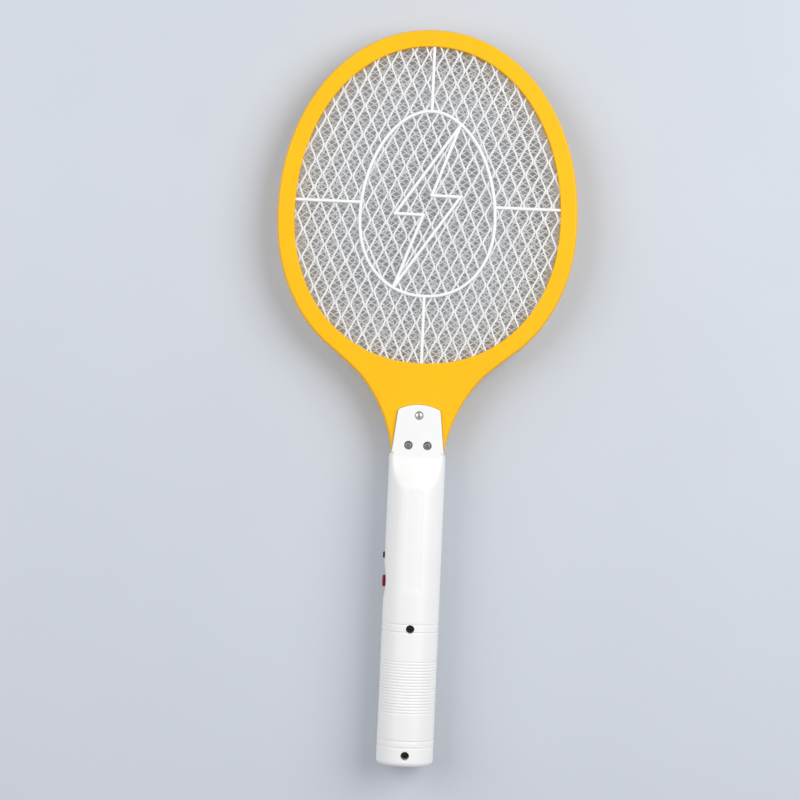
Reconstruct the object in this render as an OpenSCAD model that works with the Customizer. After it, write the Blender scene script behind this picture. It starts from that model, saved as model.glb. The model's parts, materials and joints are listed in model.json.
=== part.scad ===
// Electric fly swatter: an oval head with three meshes on a two-shell battery handle.
// Frame: X across, Y from the butt of the handle to the tip of the head, Z out of the screw side.
// The origin is under the middle of the object, on the surface that the handle's butt rests on.
// Inside the modules, positions are given as x, the distance s from the butt along Y,
// and z from the parting plane; place() moves them into the frame.

/* [Overall] */
// Length from the butt of the handle to the tip of the head
total_l = 451; // [446:1:461]
// Radius of the handle at its butt
butt_r = 17.5; // [17.3:0.1:18.5]
// Radius of the handle at the shoulder under the head
shoulder_r = 17.3; // [17.1:0.1:17.5]
// Distance from the butt to the shoulder
shoulder_s = 191.3; // [190:0.1:192]

/* [Head] */
// Half width of the opening in the head
open_a = 81.5; // [78:0.1:84]
// Height of the opening above its widest line
open_top = 104.6; // [100:0.1:106]
// Depth of the opening below its widest line
open_low = 89.5; // [86:0.1:91]
// Width of the rim around the opening
rim_band = 10.8; // [9:0.1:12]
// Thickness of each frame half
frame_t = 6; // [5.6:0.1:7]
// How far the meshes reach under the rim
mesh_grip = 3.3; // [2:0.1:4]
// Radius of the concave sides of the neck
neck_side_r = 86.7; // [85:0.1:88]

/* [Meshes] */
// Thickness of an outer mesh
mesh_t = 0.6; // [0.4:0.1:0.6]
// Gap between the middle plane and an outer mesh
mesh_gap = 3.6; // [3.2:0.1:3.8]
// Width of a strand of an outer mesh
strand_w = 0.85; // [0.6:0.05:1.2]
// Width of a diamond of an outer mesh, across the head
diamond_w = 9.2; // [8:0.1:12]
// Length of a diamond of an outer mesh, along the head
diamond_l = 17.3; // [14:0.1:20]
// Turn of the rear mesh against the axis of the head, in degrees
rear_turn = -2; // [-5:0.5:5]
// Turn of the front mesh against the axis of the head, in degrees
front_turn = 2; // [-5:0.5:5]
// Width of a diamond of the high voltage mesh, which is drawn coarser than it is woven
fine_w = 11.5; // [10:0.1:14]
// Length of a diamond of the high voltage mesh
fine_l = 7.9; // [7:0.1:10]

/* [Guard] */
// Half width of the guard's oval, to the middle of its strand
oval_a = 41.4; // [38:0.1:44]
// Height of the guard's oval above its widest line
oval_top = 66.3; // [62:0.1:70]
// Depth of the guard's oval below its widest line
oval_low = 47.1; // [45:0.1:52]
// Width of a guard strand
guard_w = 1.8; // [1.4:0.1:2.4]
// Thickness of a guard
guard_t = 1.2; // [0.8:0.1:1.4]

/* [Handle] */
// Wall of the handle
wall = 2.1; // [1.8:0.1:2.2]
// Height of the flat tongue above the parting plane
tongue_top = 7.9; // [7.6:0.1:8.4]
// Distance from the butt to the tip of the tongue
tongue_s = 220.7; // [219:0.1:222]
// Where the ramp down to the tongue leaves the handle's crest
ramp_top_s = 171; // [169.5:0.5:173]
// Number of fine grip grooves
grip_grooves = 18; // [10:1:20]
// Spacing of the fine grip grooves
grip_pitch = 1.84; // [1.6:0.02:1.84]

/* [Controls] */
// Distance from the butt to the middle of the push button
button_s = 111.9; // [111:0.1:113]
// Travel of the push button
button_travel = 1.5; // [0.5:0.1:1.5]
// Distance from the butt to the middle of the slide knob when it is off
knob_s = 127.8; // [127.4:0.1:128.2]
// Travel of the slide knob
knob_travel = 3; // [2:0.1:3]

/* [Battery bay] */
// Radius of an AA cell
cell_r = 7.1; // [6.9:0.05:7.15]
// Length of an AA cell over its positive cap
cell_l = 50.5; // [49:0.1:51]
// Half width of the battery opening
bay_x = 14.9; // [14.7:0.1:15]

/* [Hidden] */
$fn = 72;

far = 60;                      // longer than any section of the object
gap = 0.3;                     // clearance around a piece that moves
fit = 0.15;                    // clearance around a piece that is fixed
wide_s = total_l - rim_band - open_top;   // the opening's widest line
n_top = 2.06;                  // fullness of the opening's upper half, 2 is an ellipse
n_low = 2.14;                  // fullness of its lower half
rim_steps = 96;
head_s = wide_s + 7;           // middle of the head, where the meshes' lattices start
guard_s = wide_s - 1.2;          // widest line of the guard's oval
spoke_s = wide_s + 7.8;         // where its side spokes are
oval_n_top = 1.94;
oval_n_low = 2.15;
taper = (butt_r - shoulder_r) / shoulder_s;
fine_t = 0.5;                  // thickness of the high voltage mesh
fine_strand = 0.9;
fine_turn = 1.5;
neck_top_s = 253;              // where the neck meets the rim
neck_reach = 54;
neck_x = 16.4;                 // half width of the neck at the shoulder
neck_drop = 11.5;              // how far below the shoulder the centres of the neck's sides are
shoulder_chamfer = [0.9, 3];   // depth and length of the cone at the shoulder
tang_s = 160;                  // inner end of the tang inside the handle
tang_x = 12.6;
tang_z = 4.4;
link_x = 3;                    // the wire channels and the mesh tabs sit this far off the axis
tab_s = 234.5;
tongue_base = 4.5;             // underside of the tongue
tongue_x = 13.2;               // half width of the tongue under its round corners
tongue_arch_r = 28;
tongue_corner_r = 2.6;
neck_screw_places = [[0, 214, 6], [-5.8, 195.7, 5.3], [5.8, 195.7, 5.3]];   // x, s, head seat z
handle_screw_s = [6.8, 83.9];
handle_seat_z = 6;
shank_r = 1.2;
pilot_r = 1.25;
screw_clear_r = 1.5;
head_r = 2.3;
head_t = 1.6;
neck_bore_r = 2.45;
handle_bore_r = 2.55;
boss_r = 4;
void_low_s = 2.4;
void_top_s = 165;
bulkheads = [16.4, 78];        // the two walls of the battery bay
bulkhead_t = 1.6;
bay_low_s = 18.5;
bay_top_s = 77.5;
cell_x = cell_r + 0.15;
pad_x = 13.9;                  // inner face of the flat wall behind the controls
scoop_r = 45;
scoop_depth = 1.25;
button_out = 0.8;              // how far the button stands out of the handle's round
button_l = 7;
button_h = 6;
stem_r = 1.4;                  // the button's stem, which slides into the push switch
stem_l = 4.7;
flange_t = 1;
switch_x = 9.4;                // outer face of the push switch's case
can_x = pad_x - 0.2;           // outer face of the slide switch's can
knob_out = 1.2;
knob_l = 3.7;
knob_h = 2.8;
cradle_t = 1.5;                // thickness of the ribs that hold the cells
rear_cradle_s = [30, 48, 66];
cover_cradle_s = [40, 58];
post_x = 8;                    // posts under the circuit board
post_s = [98, 152];
board_x = 12.3;
board_l = 64;
lead_r = 0.3;
plate_t = 0.5;                 // battery contacts
bump_l = 1.5;
spring_l = bay_top_s - bay_low_s - cell_l - bump_l;
board_top = -3;
board_t = 1.6;
led_s = 144;
led_r = 1.5;
board_face_s = 92;
wire_r = 0.6;

function radius_at(s) = butt_r - taper * s;
function power(v, p) = sign(v) * pow(abs(v), p);
function unit(v) = v / norm(v);
function arc(c, r, a0, a1, n) = [for (i = [0:n]) let (a = a0 + (a1 - a0) * i / n) c + r * [cos(a), sin(a)]];
function turned(p, a) = [p[0] * cos(a) - p[1] * sin(a), p[0] * sin(a) + p[1] * cos(a)];

// A point of the opening's outline, moved out by grow
function rim_point(t, grow) =
    let (b = t < 180 ? open_top : open_low, n = t < 180 ? n_top : n_low)
    [(open_a + grow) * power(cos(t), 2 / n), wide_s + (b + grow) * power(sin(t), 2 / n)];

// Below 1 inside the opening, above 1 outside it
function rim_level(p) =
    let (y = p[1] - wide_s, b = y > 0 ? open_top : open_low, n = y > 0 ? n_top : n_low)
    pow(abs(p[0]) / open_a, n) + pow(abs(y) / b, n);

module place() translate([0, -total_l / 2, butt_r]) children();

// Turns a shape drawn along Z so that it runs along Y
module along_y() rotate([-90, 0, 0]) children();

module rim_outline(grow) polygon([for (i = [0:rim_steps - 1]) rim_point(i * 360 / rim_steps, grow)]);

module rounded_rect(w, h, r) {
    square([w - 2 * r, h], center = true);
    square([w, h - 2 * r], center = true);
    for (x = [-1, 1], y = [-1, 1]) translate([x * (w / 2 - r), y * (h / 2 - r)]) circle(r);
}

// A strand of a flat grille from p to q with round ends
module strand(p, q, w) {
    d = q - p;
    translate(p) rotate(atan2(d[1], d[0])) translate([0, -w / 2]) square([norm(d), w]);
    translate(p) circle(w / 2 + 0.05);
    translate(q) circle(w / 2 + 0.05);
}

// A round tube along points; side is any direction that the tube never runs along
module tube(points, r, sides, side) {
    last = len(points) - 1;
    rings = [for (i = [0:last])
        let (t = unit(points[min(i + 1, last)] - points[max(i - 1, 0)]))
        let (u = unit(cross(t, side)), v = cross(t, u))
        for (k = [0:sides - 1]) points[i] + r * (cos(k * 360 / sides) * u + sin(k * 360 / sides) * v)];
    walls = [for (i = [0:last - 1], k = [0:sides - 1]) let (n = (k + 1) % sides)
        [i * sides + k, (i + 1) * sides + k, (i + 1) * sides + n, i * sides + n]];
    ends = [[for (k = [0:sides - 1]) k], [for (k = [sides - 1:-1:0]) last * sides + k]];
    polyhedron(rings, concat(walls, ends));
}

// ---------------------------------------------------------------- head

module neck_outline() difference() {
    translate([-neck_reach, shoulder_s]) square([2 * neck_reach, neck_top_s - shoulder_s]);
    side_x = neck_x + sqrt(neck_side_r * neck_side_r - neck_drop * neck_drop);
    for (x = [-1, 1]) translate([x * side_x, shoulder_s - neck_drop]) circle(neck_side_r, $fn = 180);
}

module tongue_outline(grow) {
    corner_x = tongue_x - tongue_corner_r;
    reach = tongue_arch_r - tongue_corner_r;
    arch_s = tongue_s - tongue_arch_r;
    corner_s = arch_s + sqrt(reach * reach - corner_x * corner_x);
    lean = atan2(corner_s - arch_s, corner_x);
    right = arc([corner_x, corner_s], tongue_corner_r + grow, 0, lean, 6);
    top = arc([0, arch_s], tongue_arch_r + grow, lean, 180 - lean, 16);
    left = arc([-corner_x, corner_s], tongue_corner_r + grow, 180 - lean, 180, 6);
    foot = neck_x - 0.45 + grow;
    root = foot - 1.2;
    polygon(concat([[root, shoulder_s - 4], [root, shoulder_s], [foot, shoulder_s]], right, top, left,
        [[-foot, shoulder_s], [-root, shoulder_s], [-root, shoulder_s - 4]]));
}

// Spokes of the guard, from the oval to under the rim
module spoke_lines(reach, w) {
    top_s = wide_s + open_top + reach;
    low_s = wide_s - open_low - reach;
    for (x = [-1, 1]) strand([x * (oval_a - 0.3), spoke_s], [x * (open_a + reach - w / 2 - 0.4), spoke_s], w);
    strand([0, guard_s + oval_top], [0, top_s - w / 2], w);
    strand([0, guard_s - oval_low], [0, low_s + w / 2], w);
}

module frame_half() difference() {
    union() {
        linear_extrude(frame_t) union() {
            rim_outline(rim_band);
            neck_outline();
        }
        translate([-tang_x, tang_s, 0]) cube([2 * tang_x, shoulder_s - tang_s + 1, tang_z]);
    }
    translate([0, 0, -1]) linear_extrude(frame_t + 2) rim_outline(0);
    translate([0, 0, -1]) linear_extrude(mesh_gap + mesh_t + 1) rim_outline(mesh_grip + fit);
    translate([0, 0, mesh_gap + mesh_t - 0.1]) linear_extrude(guard_t + 0.1 + 0.05)
        spoke_lines(mesh_grip, guard_w + 2 * fit);
    translate([-7, tab_s - 3.5, -1]) cube([14, 14, mesh_gap + mesh_t + 1]);
    translate([0, 0, tongue_base]) linear_extrude(frame_t) tongue_outline(fit);
    for (p = neck_screw_places) translate([p[0], p[1], -1]) cylinder(r = screw_clear_r, h = frame_t + 2);
    for (x = [-1, 1]) translate([x * link_x - 1, tang_s - 1, -1]) cube([2, tab_s - tang_s, 2]);
}

module rear_frame() color([0.99, 0.78, 0.18]) place() frame_half();
module front_frame() color([0.99, 0.78, 0.18]) place() mirror([0, 0, 1]) frame_half();

// The corners of one diamond hole around c, narrowed by the strand
function diamond(c, w, l, strand, turn) =
    let (side = w * l / 4 / norm([w / 2, l / 2]), k = 1 - strand / 2 / side)
    [for (q = [[w / 2, 0], [0, l / 2], [-w / 2, 0], [0, -l / 2]]) [0, head_s] + turned(c + k * q, turn)];

module mesh_holes(w, l, strand, turn) {
    across = ceil(open_a / w) + 1;
    along = ceil(open_top / l) + 1;
    for (i = [-across:across], j = [-along:along], half = [0, 1]) {
        hole = diamond([(i + half / 2) * w, (j + half / 2) * l], w, l, strand, turn);
        level = [for (p = hole) rim_level(p)];
        if (max(level) < 1) polygon(hole);
        else if (min(level) < 0.98) intersection() {
            polygon(hole);
            rim_outline(0);
        }
    }
}

module mesh_sheet(w, l, strand, turn, grip, tab_x) difference() {
    union() {
        rim_outline(grip);
        translate([tab_x - 2.5, tab_s]) square([5, 14]);
    }
    mesh_holes(w, l, strand, turn);
}

module rear_mesh() color("white") place() translate([0, 0, mesh_gap])
    linear_extrude(mesh_t) mesh_sheet(diamond_w, diamond_l, strand_w, rear_turn, mesh_grip, -link_x);

module front_mesh() color("white") place() translate([0, 0, -mesh_gap - mesh_t])
    linear_extrude(mesh_t) mesh_sheet(diamond_w, diamond_l, strand_w, front_turn, mesh_grip, -link_x);

module high_voltage_mesh() color([0.85, 0.86, 0.87]) place() translate([0, 0, -fine_t / 2])
    linear_extrude(fine_t) mesh_sheet(fine_w, fine_l, fine_strand, fine_turn, mesh_grip - 1, link_x);

module spacer() translate([0, 0, fine_t / 2]) linear_extrude(mesh_gap - fine_t / 2) difference() {
    rim_outline(mesh_grip);
    rim_outline(0);
    translate([-6.5, wide_s - open_low - 8]) square([13, 12]);
}

module rear_spacer() color([0.98, 0.72, 0.15]) place() spacer();
module front_spacer() color([0.98, 0.72, 0.15]) place() mirror([0, 0, 1]) spacer();

// The lightning bolt's corners, from its upper tip, as distances from the oval's widest line
bolt = [[18, 58.6], [-20, 2.9], [-2.6, 2.7], [-19.2, -42.4], [19.8, 14.6], [2.1, 14.8]];

function oval_point(t, grow) =
    let (b = t < 180 ? oval_top : oval_low, n = t < 180 ? oval_n_top : oval_n_low)
    [0, guard_s] + [(oval_a + grow) * power(cos(t), 2 / n), (b + grow) * power(sin(t), 2 / n)];

module guard_lines() {
    difference() {
        polygon([for (i = [0:71]) oval_point(i * 5, guard_w / 2)]);
        polygon([for (i = [0:71]) oval_point(i * 5, -guard_w / 2)]);
    }
    for (i = [0:5]) strand([0, guard_s] + bolt[i], [0, guard_s] + bolt[(i + 1) % 6], guard_w);
    spoke_lines(mesh_grip - 0.3, guard_w);
}

module guard() linear_extrude(guard_t) guard_lines();
module rear_guard() color("white") place() translate([0, 0, mesh_gap + mesh_t]) guard();
module front_guard() color("white") place() translate([0, 0, -mesh_gap - mesh_t - guard_t]) guard();

// ---------------------------------------------------------------- handle

// One groove in the handle's outline, w wide and d deep
function groove(s, w, d) = [[radius_at(s), s - w / 2], [radius_at(s) - d, s - w / 4],
    [radius_at(s) - d, s + w / 4], [radius_at(s), s + w / 2]];

// The handle's outline, with its grooves, its round butt and the cone at its shoulder
module handle_profile() {
    butt_corner = 3;
    band_w = 0.9;
    band_d = 0.45;
    fine_first_s = 32.5;
    low_bands_s = [11.4, 15.5];
    top_bands_s = [81.8, 86.5];
    polygon(concat([[0, 0]],
        arc([butt_r - butt_corner, butt_corner], butt_corner, -90, 0, 6),
        [for (s = low_bands_s) each groove(s, band_w, band_d)],
        [for (i = [0:grip_grooves - 1]) each groove(fine_first_s + i * grip_pitch, 0.8, 0.35)],
        [for (s = top_bands_s) each groove(s, band_w, band_d)],
        [[shoulder_r, shoulder_s - shoulder_chamfer[1]], [shoulder_r - shoulder_chamfer[0], shoulder_s],
            [0, shoulder_s]]));
}

module handle_body() along_y() rotate_extrude() handle_profile();

module smooth_body(inset) along_y() rotate_extrude()
    polygon([[0, 0], [butt_r - inset, 0], [shoulder_r - inset, shoulder_s], [0, shoulder_s]]);

module handle_void() along_y() rotate_extrude()
    polygon([[0, void_low_s], [butt_r - wall - 2, void_low_s], [radius_at(void_low_s + 2) - wall, void_low_s + 2],
        [radius_at(void_top_s) - wall, void_top_s], [0, void_top_s]]);

// What stands inside the handle on both sides of the parting plane
module inner_walls() {
    translate([-far - pad_x, 97, -far]) cube([far, 42, 2 * far]);
    for (s = bulkheads) translate([-far, s, -far]) cube([2 * far, bulkhead_t, 2 * far]);
    for (s = handle_screw_s) translate([0, s, -far]) cylinder(r = boss_r, h = 2 * far);
}

module cell_cradle(from_z, clear) rotate([90, 0, 0]) linear_extrude(cradle_t) difference() {
    translate([-15, min(from_z, from_z * 6)]) square([30, abs(from_z) * 5]);
    for (x = [-1, 1]) translate([x * cell_x, 0]) circle(cell_r + clear);
}

module ramp_cut() translate([-far / 2, 0, 0]) rotate([90, 0, 90]) linear_extrude(far)
    polygon([[shoulder_s - 2, tongue_top], [ramp_top_s, radius_at(ramp_top_s)], [ramp_top_s, far],
        [tongue_s + 5, far], [tongue_s + 5, tongue_top]]);

// Openings for the button and the knob, shared by both shells
module control_cuts() {
    scoop_x = radius_at(button_s) - scoop_depth + scoop_r;
    translate([-scoop_x, button_s, -far]) cylinder(r = scoop_r, h = 2 * far, $fn = 240);
    translate([-pad_x - 5, button_s, 0]) rotate([90, 0, 90]) linear_extrude(10)
        rounded_rect(button_l + 2 * gap, button_h + 2 * gap, 1.8);
    translate([-pad_x - 5, knob_s - knob_l / 2 - gap, -knob_h / 2 - gap])
        cube([10, knob_l + knob_travel + 2 * gap, knob_h + 2 * gap]);
}

// One half of the handle with its tongue; the screws enter it from outside when it is the rear one
module shell_half() difference() {
    union() {
        handle_body();
        translate([0, 0, tongue_base]) linear_extrude(tongue_top - tongue_base) tongue_outline(0);
    }
    translate([-far, -far, -2 * far]) cube([2 * far, 2 * total_l, 2 * far]);
    translate([-tang_x - fit, tang_s - 1, -1]) cube([2 * (tang_x + fit), far, tang_z + 0.1 + 1]);
    ramp_cut();
    control_cuts();
}

module label_panel() {
    half_w = 4.6;
    low_s = 107.9;
    top_s = 169.5;
    depth = 0.3;
    difference() {
        linear_extrude(far) union() {
            translate([-half_w, low_s]) square([2 * half_w, top_s - half_w - low_s]);
            translate([0, top_s - half_w]) circle(half_w);
        }
        smooth_body(depth);
    }
}

module rear_shell() color("white") place() difference() {
    shell_half();
    difference() {
        handle_void();
        inner_walls();
        for (s = rear_cradle_s) translate([0, s, 0]) cell_cradle(3, 0.2);
    }
    label_panel();
    for (p = neck_screw_places) {
        translate([p[0], p[1], 0]) cylinder(r = screw_clear_r, h = far);
        translate([p[0], p[1], p[2]]) cylinder(r = neck_bore_r, h = far);
    }
    for (s = handle_screw_s) {
        translate([0, s, -1]) cylinder(r = screw_clear_r, h = far);
        translate([0, s, handle_seat_z]) cylinder(r = handle_bore_r, h = far);
    }
    for (x = [-1, 1]) translate([x * 11, bulkheads[1] - 1, 2]) along_y() cylinder(r = 0.8, h = bulkhead_t + 2);
}

module front_shell() color("white") place() difference() {
    mirror([0, 0, 1]) shell_half();
    difference() {
        handle_void();
        inner_walls();
        for (x = [-post_x, post_x], s = post_s) translate([x, s, board_top - board_t - far]) cylinder(r = 2, h = far);
    }
    translate([-bay_x, bay_low_s, -far]) cube([2 * bay_x, bay_top_s - bay_low_s, far - 3.5]);
    for (p = neck_screw_places) translate([p[0], p[1], 0.7 - tongue_top]) cylinder(r = pilot_r, h = far);
    for (s = handle_screw_s) translate([0, s, -12]) cylinder(r = pilot_r, h = far);
    translate([0, led_s, -far]) cylinder(r = led_r + 0.1, h = far);
}

module battery_cover() color([0.95, 0.95, 0.95]) place() {
    x = bay_x - gap;
    low_s = bay_low_s + gap;
    l = bay_top_s - bay_low_s - 2 * gap;
    difference() {
        intersection() {
            handle_body();
            translate([-x, low_s, -far]) cube([2 * x, l, far]);
        }
        difference() {
            handle_void();
            for (s = cover_cradle_s) translate([0, s, 0]) intersection() {
                cell_cradle(-3, 0.4);
                translate([-12, -2, -far]) cube([24, 3, far - 4]);
            }
        }
        translate([0, bay_top_s, -far]) cylinder(r = 5, h = far - butt_r + 1.3);
    }
}

module cross_recess() for (a = [0, 90]) rotate(a) translate([-1.3, -0.25, -0.8]) cube([2.6, 0.5, 1]);

// A pan head screw whose head rests on z = 0 and whose shank points down
module screw(shank_l) {
    difference() {
        cylinder(r = head_r, h = head_t);
        translate([0, 0, head_t]) cross_recess();
    }
    translate([0, 0, 1 - shank_l]) cylinder(r = shank_r, h = shank_l);
    translate([0, 0, -shank_l]) cylinder(r1 = 0.4, r2 = shank_r, h = 1);
}

module neck_screws() color("silver") place()
    for (p = neck_screw_places) translate(p) screw(p[2] + tongue_top - 1);

module handle_screws() color([0.5, 0.45, 0.4]) place()
    for (s = handle_screw_s) translate([0, s, handle_seat_z]) screw(17);

// ---------------------------------------------------------------- controls

module push_button() color([0.75, 0.05, 0.1]) place() {
    face_x = radius_at(button_s) + button_out;
    flange_x = pad_x - gap;
    translate([-face_x, button_s, 0]) rotate([90, 0, 90]) linear_extrude(face_x - flange_x + 0.01)
        rounded_rect(button_l, button_h, 1.5);
    translate([-flange_x, button_s, 0]) rotate([90, 0, 90]) linear_extrude(flange_t)
        rounded_rect(button_l + 2.7, button_h + 2, 1.5);
    translate([-flange_x + flange_t, button_s, 0]) rotate([0, 90, 0]) cylinder(r = stem_r, h = stem_l);
}

module button_spring() color("silver") place() {
    from_x = -pad_x + gap + flange_t + 0.2;
    to_x = -switch_x - 0.2;
    turns = 3.5;
    steps = 49;
    tube([for (i = [0:steps]) let (a = 360 * turns * i / steps)
        [from_x + (to_x - from_x) * i / steps, button_s + 2.1 * cos(a), 2.1 * sin(a)]], 0.2, 6, [1, 0, 0]);
}

module push_switch() color([0.12, 0.12, 0.12]) place() difference() {
    translate([-switch_x, button_s - 4, board_top]) cube([6, 8, 6]);
    stem_end_x = pad_x - gap - flange_t - stem_l;
    translate([-switch_x - 1, button_s, 0]) rotate([0, 90, 0])
        cylinder(r = stem_r + 0.35, h = 1 + switch_x - stem_end_x + button_travel + 0.6);
}

module slide_switch() color("silver") place() difference() {
    translate([-can_x, knob_s - 4.5, board_top]) cube([4.5, 12, 6]);
    translate([-can_x - 1, knob_s - knob_l / 2 - gap, -knob_h / 2 - gap])
        cube([1 + 1.6, knob_l + knob_travel + 2 * gap, knob_h + 2 * gap]);
}

module slide_knob() color([0.08, 0.08, 0.08]) place() difference() {
    out = radius_at(knob_s) + knob_out;
    translate([-out, knob_s - knob_l / 2, -knob_h / 2]) cube([out - can_x + 1.3, knob_l, knob_h]);
    for (d = [-1, 0, 1]) translate([-out - 0.2, knob_s + d - 0.2, -knob_h]) cube([0.5, 0.4, 2 * knob_h]);
}

// ---------------------------------------------------------------- electronics

module circuit_board() color([0.1, 0.4, 0.2]) place() difference() {
    translate([-board_x, board_face_s, board_top - board_t]) cube([2 * board_x, board_l, board_t]);
    translate([-14, button_s - 6.3, board_top - 2 * board_t]) cube([3.7, 12.6, 3 * board_t]);
}

module on_board(x, s) place() translate([x, s, board_top]) children();

module transformer_core() color([0.25, 0.25, 0.27]) on_board(1.5, 146) difference() {
    translate([-7, -3.5, 0]) cube([14, 7, 12]);
    for (x = [-1, 1]) translate([x * 3.25 - 1.5, -4, 1.75]) cube([3, 8, 8.5]);
}

module transformer_bobbin() color([0.2, 0.18, 0.15]) on_board(1.5, 146) difference() {
    union() {
        translate([-2.4, -4.1, 1.85]) cube([4.8, 8.2, 8.3]);
        for (z = [1.85, 9.35]) translate([-4.6, -6.4, z]) cube([9.2, 12.8, 0.8]);
    }
    translate([-1.8, -3.55, 1]) cube([3.6, 7.1, 10]);
}

module transformer_winding() color([0.7, 0.35, 0.15]) on_board(1.5, 146)
    translate([0, 0, 2.7]) linear_extrude(6.6) difference() {
        rounded_rect(8.6, 12, 1.2);
        square([4.9, 8.3], center = true);
    }

// A film capacitor with its two leads
module film_capacitor(w, l, h) {
    translate([0, 0, 0.5]) linear_extrude(h) rounded_rect(w, l, w / 5);
    for (y = [-1, 1]) translate([0, y * l / 3, 0]) cylinder(r = lead_r, h = 1);
}

module storage_capacitor() color([0.55, 0.1, 0.08]) on_board(8, 124) film_capacitor(5.5, 15, 10.5);
module multiplier_capacitor(n) color([0.75, 0.45, 0.1]) on_board([2.5, 7][n], 99) film_capacitor(3, 7, 8);

// A part with a round body lying along Y and a lead bent down at each end
module axial_part(body_r, body_l, span) {
    lift = body_r + lead_r;
    translate([0, -body_l / 2, lift]) along_y() cylinder(r = body_r, h = body_l);
    translate([0, -span / 2, lift]) along_y() cylinder(r = lead_r, h = span);
    for (y = [-1, 1]) translate([0, y * (span / 2 - lead_r), 0]) cylinder(r = lead_r, h = lift);
}

module diode(n) color([0.1, 0.1, 0.1]) on_board(-9 + n * 3.5, 98.5) axial_part(1.35, 5.2, 8.4);
module bleed_resistor() color([0.75, 0.65, 0.45]) on_board(3, 110) axial_part(1.2, 6.5, 9.5);
module base_resistor() color([0.75, 0.65, 0.45]) on_board(2.6, 124) axial_part(0.9, 4, 7);

module transistor() color([0.1, 0.1, 0.1]) on_board(-2.5, 123) {
    translate([0, 0, 3]) linear_extrude(4.6) difference() {
        circle(2.4);
        translate([-3, 1.4]) square([6, 2]);
    }
    for (x = [-1.27, 0, 1.27]) translate([x, 0, 0]) cylinder(r = 0.25, h = 3.5);
}

module indicator_led() color([0.9, 0.2, 0.15]) place() translate([0, led_s, 0]) {
    translate([0, 0, -15.6]) sphere(r = led_r);
    translate([0, 0, -15.6]) cylinder(r = led_r, h = 4);
    translate([0, 0, -12.4]) cylinder(r = 1.9, h = 0.9);
    for (x = [-1, 1]) translate([x * 0.8, 0, -12]) cylinder(r = 0.25, h = 12 + board_top - board_t);
}

// ---------------------------------------------------------------- battery

module cell_bump(x, s) translate([x, s, 0]) along_y() cylinder(r = 2.5, h = bump_l);

module contact_bridge() color("silver") place() {
    translate([-12.5, bay_low_s - plate_t, -5]) cube([25, plate_t, 10]);
    cell_bump(cell_x, bay_low_s);
}

module contact_positive() color("silver") place() {
    translate([-12.5, bay_top_s, -5]) cube([10, plate_t, 10]);
    cell_bump(-cell_x, bay_top_s - bump_l);
}

module contact_negative() color("silver") place() translate([2.5, bay_top_s, -5]) cube([10, plate_t, 10]);

// A conical coil from its wide end on the plate to its narrow end on the cell
module battery_spring(x, from_s, way) {
    steps = 56;
    wire = 0.4;
    tube([for (i = [0:steps]) let (k = i / steps, a = 360 * 4 * k, r = 4.2 - 1.4 * k)
        [x + r * cos(a), from_s + way * (wire + (spring_l - 2 * wire) * k), r * sin(a)]], wire, 6, [0, 1, 0]);
}

module bridge_spring() color("silver") place() battery_spring(-cell_x, bay_low_s, 1);
module negative_spring() color("silver") place() battery_spring(cell_x, bay_top_s, -1);

// A cell standing on its flat end
module aa_cell() {
    cap_l = 1;
    cylinder(r = cell_r, h = cell_l - cap_l);
    cylinder(r = 2.7, h = cell_l);
}

module aa_cell_1() color([0.2, 0.45, 0.3]) place()
    translate([-cell_x, bay_low_s + spring_l, 0]) along_y() aa_cell();

module aa_cell_2() color([0.2, 0.45, 0.3]) place()
    translate([cell_x, bay_top_s - spring_l, 0]) rotate([90, 0, 0]) aa_cell();

// ---------------------------------------------------------------- wires

board_wire_z = board_top + wire_r;

module head_wire(x, end) tube(concat([[x, 154, board_wire_z], [x, 156.5, board_wire_z + 0.6], [x, 158.5, -0.6]],
    [[x, 161, 0], [x, 180, 0], [x, 205, 0], [x, 228, 0]], end), wire_r, 8, [1, 0, 0]);

module high_voltage_wire() color("red") place() head_wire(link_x, [[link_x, tab_s, 0]]);

module ground_wire() color([0.2, 0.2, 0.2]) place() head_wire(-link_x,
    [[-link_x, 232, 0.2], [-link_x, 235, 1], [-link_x, 236.4, 2.1], [-link_x, 236.6, 2.8], [-link_x, 236.6, mesh_gap]]);

module ground_link() color([0.2, 0.2, 0.2]) place()
    translate([-link_x, 240, -mesh_gap]) cylinder(r = wire_r, h = 2 * mesh_gap);

module battery_wire(side) {
    from_s = bay_top_s + plate_t;
    tube([[side * 11, from_s, 2], [side * 11, 80, 2], [side * 11, 84, 1.2], [side * 10.6, 88, -0.6],
        [side * 10, 91, -1.9], [side * 9.6, 93, board_wire_z], [side * 9.6, 93.9, board_wire_z]], wire_r, 8, [1, 0, 0]);
}

module battery_wire_positive() color("red") place() battery_wire(-1);
module battery_wire_negative() color([0.1, 0.1, 0.1]) place() battery_wire(1);

rear_frame();
front_frame();
rear_mesh();
high_voltage_mesh();
front_mesh();
rear_guard();
front_guard();
rear_spacer();
front_spacer();
rear_shell();
front_shell();
neck_screws();
handle_screws();
battery_cover();
push_button();
button_spring();
push_switch();
slide_knob();
slide_switch();
circuit_board();
transformer_core();
transformer_bobbin();
transformer_winding();
storage_capacitor();
multiplier_capacitor(0);  // multiplier_capacitor_1
multiplier_capacitor(1);  // multiplier_capacitor_2
diode(0);  // diode_1
diode(1);  // diode_2
diode(2);  // diode_3
transistor();
bleed_resistor();
base_resistor();
indicator_led();
contact_bridge();
contact_positive();
contact_negative();
bridge_spring();
negative_spring();
aa_cell_1();
aa_cell_2();
high_voltage_wire();
ground_wire();
ground_link();
battery_wire_positive();
battery_wire_negative();
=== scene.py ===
"""The electric fly swatter's looks: the visible pieces rebuilt with rounded edges and real strands, and all
materials.

Points are written as (x, s, z) in millimetres: x across, s from the butt along the handle, and z above the
parting plane between the two halves. build() turns them into the frame's metres.
"""
import json
import math

import bmesh
import bpy
import numpy as np
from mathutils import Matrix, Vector
from mathutils.geometry import delaunay_2d_cdt


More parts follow.
